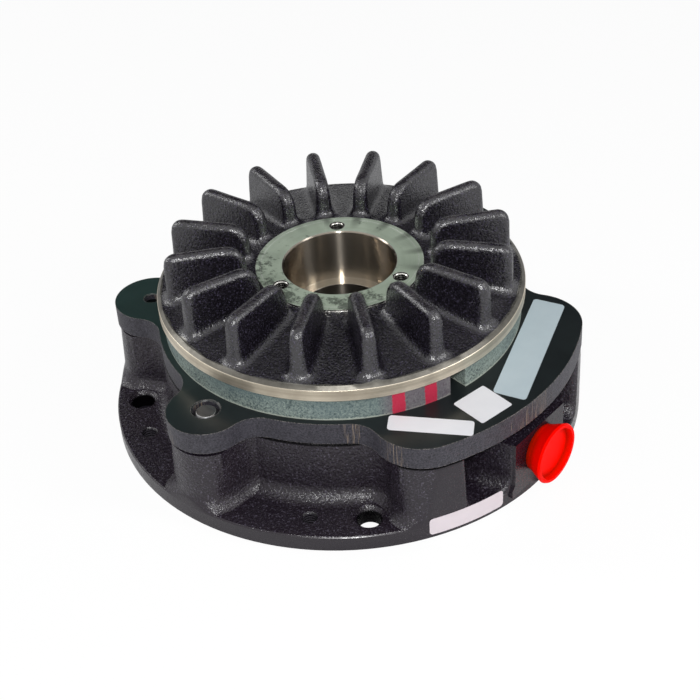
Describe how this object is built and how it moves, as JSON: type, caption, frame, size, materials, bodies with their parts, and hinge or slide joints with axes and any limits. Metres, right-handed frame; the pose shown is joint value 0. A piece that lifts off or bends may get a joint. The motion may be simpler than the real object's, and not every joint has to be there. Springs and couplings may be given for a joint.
{
  "type": "tension control brake",
  "caption": "Air-operated disc brake for web tension: a finned friction disc spins over a lobed spring-returned plate with friction segments on a round flanged housing.",
  "frame": {"origin": "centre of the flange's mounting face, on the brake's axis", "axes": "+Z along the shaft, from the mounting face towards the finned disc; +X towards the side that the air inlet faces"},
  "size_m": [0.1558, 0.1496, 0.0619],
  "materials": {
    "casting_paint": "black semi-gloss paint over a sand casting",
    "plate_paint": "black satin paint, worn on the cut edges",
    "disc_casting": "black paint, with the rim machined bright",
    "piston_metal": "turned",
    "seal_rubber": "moulded",
    "friction_material": "pressed friction composite, speckled grey-green",
    "screw_brass": "plain",
    "pin_steel": "ground",
    "screw_steel": "black oxide",
    "washer_steel": "zinc plated",
    "spring_steel": "drawn wire",
    "plug_plastic": "moulded red",
    "hub_metal": "machined bright"
  },
  "bodies": {
    "housing": {"housing_casting": "casting_paint", "guide_pin_1": "pin_steel", "guide_pin_2": "pin_steel", "guide_pin_3": "pin_steel", "return_spring_1": "spring_steel", "return_spring_2": "spring_steel", "return_spring_3": "spring_steel"},
    "carrier": {"carrier_plate": "plate_paint", "facing_segment_1": "friction_material", "facing_segment_2": "friction_material", "facing_segment_3": "friction_material", "facing_screws_1": "screw_brass", "facing_screws_2": "screw_brass", "facing_screws_3": "screw_brass", "return_screw_1": "screw_steel", "return_screw_2": "screw_steel", "return_screw_3": "screw_steel", "return_washer_1": "washer_steel", "return_washer_2": "washer_steel", "return_washer_3": "washer_steel"},
    "piston": {"piston": "piston_metal", "piston_outer_seal": "seal_rubber", "piston_inner_seal": "seal_rubber"},
    "disc": {"friction_disc": "disc_casting", "disc_hub": "hub_metal"},
    "plug": {"port_plug": "plug_plastic"}
  },
  "joints": [
    {"name": "plate_slide", "type": "slide", "parent": "housing", "child": "carrier", "axis": [0, 0, 1], "range_m": [0, 0.00048], "stiffness_N_per_m": 30000, "springref_m": -0.002, "deforming": ["return_spring_1", "return_spring_2", "return_spring_3"]},
    {"name": "piston_slide", "type": "slide", "parent": "housing", "child": "piston", "axis": [0, 0, 1], "range_m": [0, 0.00048]},
    {"name": "disc_spin", "type": "hinge", "parent": "housing", "child": "disc", "pos_m": [0, 0, 0.0411], "axis": [0, 0, 1], "continuous": true},
    {"name": "port_plug_pull", "type": "slide", "parent": "housing", "child": "plug", "axis": [1, 0, 0], "range_m": [0, 0.02]}
  ],
  "couplings": [
    {"joint": "piston_slide", "follows": "plate_slide", "ratio": 1}
  ]
}
